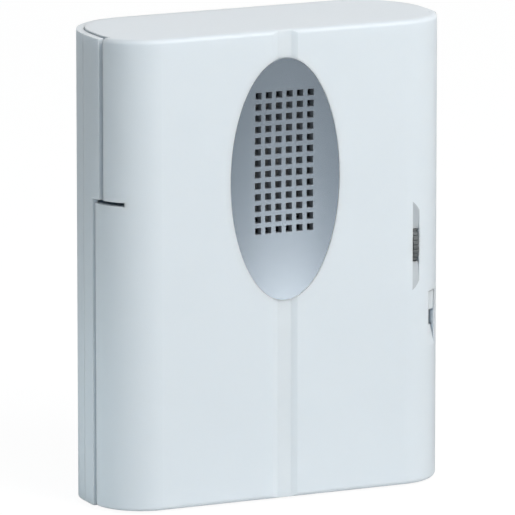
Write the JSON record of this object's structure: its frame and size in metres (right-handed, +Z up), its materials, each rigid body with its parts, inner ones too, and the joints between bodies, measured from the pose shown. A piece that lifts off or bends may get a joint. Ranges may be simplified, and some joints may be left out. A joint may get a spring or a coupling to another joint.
{
  "type": "doorbell chime box",
  "caption": "Wall-mounted electronic doorbell chime box with a loudspeaker behind a dished oval grille, a volume thumbwheel and a tune slider.",
  "frame": {"origin": "middle of the back face, on the wall", "axes": "+Y into the wall, +Z up, +X to the right as seen from the front"},
  "size_m": [0.11, 0.043, 0.14],
  "materials": {
    "case_plastic": "fine satin moulding",
    "silver_plastic": "satin silver paint",
    "grey_plastic": "satin",
    "black_plastic": "matt",
    "terminal_plastic": "semi-gloss",
    "steel": "zinc plated",
    "ferrite": "ground ceramic",
    "black_rubber": "matt",
    "cone_paper": "pressed grey paper",
    "copper": "enamelled wire",
    "brown_board": "pressed board",
    "green_board": "solder mask",
    "capacitor_can": "sleeved can",
    "resistor_body": "lacquer",
    "cell_jacket": "plain jacket",
    "red_lead": "PVC sleeve"
  },
  "bodies": {
    "wall_unit": {"base": "case_plastic", "speaker_frame": "steel", "speaker_front_plate": "steel", "speaker_magnet": "ferrite", "speaker_yoke": "steel", "speaker_surround": "black_rubber", "speaker_gasket": "black_rubber", "speaker_tag_strip": "brown_board", "speaker_washers": "steel", "speaker_screws": "steel", "speaker_leads": "red_lead", "circuit_board": "green_board", "board_screws": "steel", "tune_chip": "black_plastic", "amplifier_chip": "black_plastic", "capacitors": "capacitor_can", "resistors": "resistor_body", "terminal_block": "terminal_plastic", "terminal_screws": "steel", "volume_control": "black_plastic", "tune_switch": "steel", "cells": "cell_jacket", "upper_contacts": "steel", "lower_contacts": "steel", "cell_leads": "red_lead"},
    "cover": {"front_cover": "case_plastic", "grille_inlay": "silver_plastic"},
    "wheel": {"volume_wheel": "grey_plastic"},
    "slider": {"tune_slider": "case_plastic"},
    "diaphragm": {"speaker_cone": "cone_paper", "dust_cap": "cone_paper", "voice_coil": "copper"}
  },
  "joints": [
    {"name": "cover_pull", "type": "slide", "parent": "wall_unit", "child": "cover", "axis": [0, -1, 0], "range_m": [0, 0.06]},
    {"name": "volume_turn", "type": "hinge", "parent": "wall_unit", "child": "wheel", "pos_m": [0.04275, -0.0338, 0.0022], "axis": [1, 0, 0], "range_deg": [-140, 140]},
    {"name": "tune_slide", "type": "slide", "parent": "wall_unit", "child": "slider", "axis": [0, 0, -1], "range_m": [0, 0.005]},
    {"name": "diaphragm_move", "type": "slide", "parent": "wall_unit", "child": "diaphragm", "axis": [0, -1, 0], "range_m": [-0.0004, 0.0004], "stiffness_N_per_m": 1500}
  ]
}
